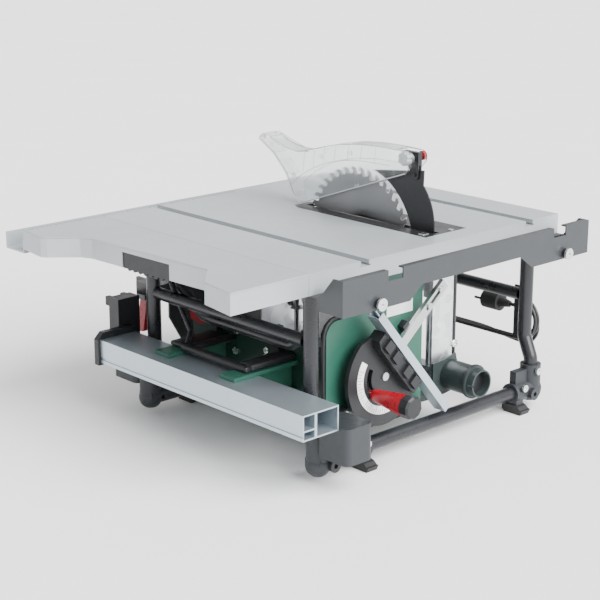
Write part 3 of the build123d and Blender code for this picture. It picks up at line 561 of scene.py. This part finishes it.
def turned(name, start, direction, profile, body, slot, steps=32):
    """A turned piece, such as a screw head, from a start point in metres."""
    mesh = bmesh.new()
    lathe(mesh, start, direction, profile, steps)
    smooth_by_angle(mesh_piece(name, mesh, body, slot))


def wire(name, points, thickness, body, slot, finish=None):
    """A thin bead or rod along saw-coordinate points."""
    curve = round_curve(name, "POLY", points, thickness, resolution=3)
    curve.materials.append(finish or FINISHES[slot])
    piece = linked(name, curve)
    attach(piece, body)


def swept(points, steps=5):
    """Extra points along a Catmull-Rom line through (y, z) pairs."""
    out = []
    ends = [points[0]] + points + [points[-1]]
    for a, b, c, d in zip(ends, ends[1:], ends[2:], ends[3:]):
        for i in range(steps):
            t = i / steps
            out.append(tuple(
                0.5 * (2 * q + (r - p) * t + (2 * p - 5 * q + 4 * r - s) * t * t
                       + (3 * q - p - 3 * r + s) * t ** 3)
                for p, q, r, s in zip(a, b, c, d)))
    return out + [points[-1]]


GUARD_LEFT, GUARD_RIGHT = 251.0, 285.0
GUARD_TOP = [(440, 132.5), (350, 132.5), (267, 121.6), (184, 99.7), (152, 98.6), (86, 117.5)]
GUARD_NOSE = [(66, 106), (104, 85), (139, 51)]
GUARD_HEEL = (433, 94)
GUARD_CREASE = [(152, 34), (190, 62), (250, 88), (320, 101), (400, 104)]
GUARD_RIBS = [(188, 62, 98), (214, 74, 106), (240, 85, 113), (268, 93, 120), (300, 98, 125),
              (332, 101, 129), (366, 102, 130)]
GUARD_BOSSES = [(100, 100), (230, 96), (305, 112), (160, 52)]


def guard_bead(name, x, line, thickness):
    """One bead on the wall of the clear guard at x, along (y, z) points; its pale grey is a painted
    highlight for the glints on the guard's clear edges.
    """
    wire(name, [(x, y, z) for y, z in line], thickness, "guard", "clear_plastic", GUARD_HIGHLIGHT_GREY)


def add_guard_beads():
    """The clear guard's rims and creases on both walls, and the ribs and bosses of its right wall."""
    # the left wall stops short of the table, so that it clears it at full tilt
    for side, x, toe, low_start in (("l", GUARD_LEFT, [(154, 21)], (226, 20.6)),
                                    ("r", GUARD_RIGHT, [(155, 19), (176, 4.5)], (182, 5))):
        guard_bead(f"guard_rim_top_{side}", x, swept(GUARD_TOP), 1.6)
        guard_bead(f"guard_rim_low_{side}", x, [low_start, GUARD_HEEL], 1.8)
        guard_bead(f"guard_rim_front_{side}", x, swept(GUARD_NOSE + toe), 1.6)
        guard_bead(f"guard_crease_{side}", x, swept(GUARD_CREASE), 1.0)
    for number, (y, low, high) in enumerate(GUARD_RIBS):
        guard_bead(f"guard_rib_{number}", GUARD_RIGHT, [(y - 4, low), (y, high)], 0.8)
    for number, (y, z) in enumerate(GUARD_BOSSES):
        turned(f"guard_boss_{number}", at(GUARD_RIGHT - 0.5, y, z), (1, 0, 0),
               [(0, 4.2), (1.6, 4.0), (1.8, 2.2), (1.2, 2.0)], "guard", "clear_plastic", steps=24)


GAUGE_X, GAUGE_Z = 421.0, -209.0
GAUGE_TURN = math.radians(50.0)
GAUGE_FACE_Y = 526.75


def gauge_point(radius, angle):
    """A point on the face of the mitre gauge's head, which hangs turned on its clips."""
    t, s = radius * math.cos(angle), radius * math.sin(angle)
    return at(GAUGE_X + t * math.cos(GAUGE_TURN) - s * math.sin(GAUGE_TURN), GAUGE_FACE_Y,
              GAUGE_Z + t * math.sin(GAUGE_TURN) + s * math.cos(GAUGE_TURN))


def add_tick(mesh, inner, outer, width, lift):
    """One raised ink line between two points, on a face whose normal is lift."""
    ink_height = 0.25
    along = (outer - inner).normalized()
    side = along.cross(lift).normalized() * width / 2 * MM
    raised = lift * ink_height * MM
    low = [inner - side, inner + side, outer + side, outer - side]
    corners = [mesh.verts.new(p) for p in low] + [mesh.verts.new(p + raised) for p in low]
    for face in ((3, 2, 1, 0), (4, 5, 6, 7), (0, 1, 5, 4), (1, 2, 6, 5), (2, 3, 7, 6), (3, 0, 4, 7)):
        mesh.faces.new([corners[i] for i in face])


def add_gauge_ticks():
    """Degree lines on the mitre gauge's scale."""
    scale_r, long_r, short_r = 62.5, 51.5, 56
    mesh = bmesh.new()
    for degree in range(-60, 61, 5):
        angle = math.radians(270 + degree)
        inner = gauge_point(long_r if degree % 15 == 0 else short_r, angle)
        add_tick(mesh, inner, gauge_point(scale_r, angle), 0.7, Vector((0, 1, 0)))
    mesh_piece("gauge_ticks", mesh, "gauge_head", "panel_black", INK)


def add_bevel_ticks():
    """Degree lines on the bevel scale beside the crank."""
    scale_r, long_r, short_r, face_y = 216.5, 206.5, 210, 16.85
    mesh = bmesh.new()
    for degree in range(0, 46, 5):
        angle = math.radians(-90 + degree)
        inner_r = long_r if degree % 15 == 0 else short_r
        inner, outer = (at(BLADE_X + r * math.cos(angle), face_y, r * math.sin(angle))
                        for r in (inner_r, scale_r))
        add_tick(mesh, inner, outer, 0.8, Vector((0, -1, 0)))
    mesh_piece("bevel_ticks", mesh, "frame", "panel_black", INK)


def add_rail_ticks():
    """The rip scale on the front edge of the table and of its extension."""
    margin = 4
    for name, start, end, body in (("table_rip_ticks", 300, 600, "frame"),
                                   ("extension_rip_ticks", 610, 755, "extension")):
        mesh = bmesh.new()
        for x in range(start, end + 1, 5):
            length = 9 if x % 50 == 0 else 6 if x % 10 == 0 else 4
            add_tick(mesh, at(x, margin, 0), at(x, margin + length, 0), 0.6, Vector((0, 0, 1)))
        mesh_piece(name, mesh, body, "panel_black", INK)


TRIM_Y = 493.5
STAY_X = 198
STAY_SCREW = [(0, 7), (2.5, 7), (3.5, 5.5), (3.6, 3), (2.4, 2.8)]
CARRIER_SCREW = [(0, 6), (2.5, 6), (3.5, 4.6), (3.6, 2.6), (2.4, 2.4)]


def add_panel_surround_and_shade():
    """The black frame that holds the green rear panel; its black also paints the shade of the gap along the
    panel's edge.
    """
    edge = [(440, -100), (498, -100), (512, -102.5), (523, -110), (529, -122), (530, -150), (530, -296),
            (518, -303), (302, -303)]
    # black bead: partly the real black surround, partly painted shade for the shadow gap at the panel's
    # edge
    wire("panel_surround_and_shade", [(x, TRIM_Y, z) for x, z in edge], 8, "frame", "panel_black")


def add_plate_rod():
    """The upright stay beside the galvanised plate, with its two screws."""
    wire("plate_stay", [(STAY_X, 476, -34), (STAY_X, 476, -238)], 8, "tilt_unit", "tube_black")
    for number, z in enumerate((-52, -212)):
        turned(f"stay_screw_{number}", at(STAY_X, 478, z), (0, 1, 0), STAY_SCREW, "tilt_unit", "zinc")


def add_insert_hardware():
    """The insert's release tab and its locating clip."""
    for name, low, high, radius in (("insert_tab", (283, 478, -0.6), (296, 490, 1.4), 0.6),
                                    ("insert_clip", (228, 489, -0.4), (236, 498, 0.9), 0.4)):
        mesh = bmesh.new()
        rounded_block(mesh, at(*low), at(*high), radius)
        mesh_piece(name, mesh, "frame", "zinc")


def add_hook_carrier():
    """The dark bar over the fence hooks, with its arms, its slanted rod and its two screws."""
    arm_x, arm_z = 504, -192.6
    mesh = bmesh.new()
    rounded_block(mesh, at(596, 232, -194), at(612, 400, -182), 4)
    rounded_block(mesh, at(arm_x, 236, arm_z), at(600, 252, -183), 3)
    rounded_block(mesh, at(arm_x, 372, arm_z), at(600, 402, -180), 4)
    rounded_block(mesh, at(arm_x, 196, arm_z), at(606, 236, -184), 4)
    smooth_by_angle(mesh_piece("hook_carrier", mesh, "frame", "panel_black"))
    rod = [(560, 120, -60), (563, 160, -120), (575, 215, -170), (600, 236, -183)]
    wire("carrier_rod", rod, 9, "frame", "tube_black")
    for number, (y, z) in enumerate([(252, -176), (328, -193)]):
        turned(f"carrier_screw_{number}", at(503, y, z), (1, 0, 0), CARRIER_SCREW, "frame", "zinc")


def add_extension_edges():
    """The softened outer and rear top edges of the sliding extension."""
    edge_z, edge_d = -1.3, 2.2
    rim = [(761, 0), (769, 64), (763, 73), (721, 110), (712, 131), (699, 415), (748, 467), (760, 540)]
    rear = [(604.6, 540), (760, 540)]
    for name, line in (("extension_edge", rim), ("extension_rear_edge", rear)):
        wire(name, [(x, y, edge_z) for x, y in line], edge_d, "extension", "extension_aluminium")


def add_port_collar():
    """Grip ribs round the dust port's collar."""
    port_x, port_z = 219, -261
    for number, y in enumerate((541.5, 545)):
        turned(f"port_rib_{number}", at(port_x, y, port_z), (0, 1, 0),
               [(0, 29.2), (0.4, 29.9), (1.4, 29.9), (1.8, 29.2)], "frame", "panel_black", steps=56)


add_guard_beads()
add_gauge_ticks()
add_bevel_ticks()
add_rail_ticks()
add_panel_surround_and_shade()
add_plate_rod()
add_insert_hardware()
add_hook_carrier()
add_extension_edges()
add_port_collar()

# ---- light and floor ------------------------------------------------------------------------------


SKY_STRENGTH = 1.1
SUN_STRENGTH, SUN_WIDTH = 9.0, 55
SUN_HEADING = (0.10, -0.78, -0.62)
FLOOR_HALF = 14


def add_sky():
    """An even white sky."""
    world = bpy.data.worlds.new("studio")
    world.use_nodes = True
    background = world.node_tree.nodes["Background"]
    background.inputs["Color"].default_value = (1.0, 1.0, 1.0, 1)
    background.inputs["Strength"].default_value = SKY_STRENGTH
    bpy.context.scene.world = world


def add_key_light():
    """A wide, soft light from above the rear of the saw."""
    sun = bpy.data.lights.new("soft_key", "SUN")
    sun.energy = SUN_STRENGTH
    sun.angle = math.radians(SUN_WIDTH)
    key = linked("soft_key", sun)
    key.rotation_euler = Vector(SUN_HEADING).to_track_quat("-Z", "Y").to_euler()


def floor_paper():
    """Pale studio paper."""
    s = Shader("floor_paper")
    s.colour(s.mottle(s.noise(3, detail=3), (1, 1, 1), 0.90, 0.93))
    s.sheen(s.noise(40), 0.7, 0.85)
    return s.material


def add_floor():
    """The floor that the saw stands on."""
    mesh = bmesh.new()
    bmesh.ops.create_grid(mesh, x_segments=2, y_segments=2, size=FLOOR_HALF)
    floor = linked("floor", baked_mesh("floor", mesh))
    floor.data.materials.append(floor_paper())


add_sky()
add_key_light()
add_floor()
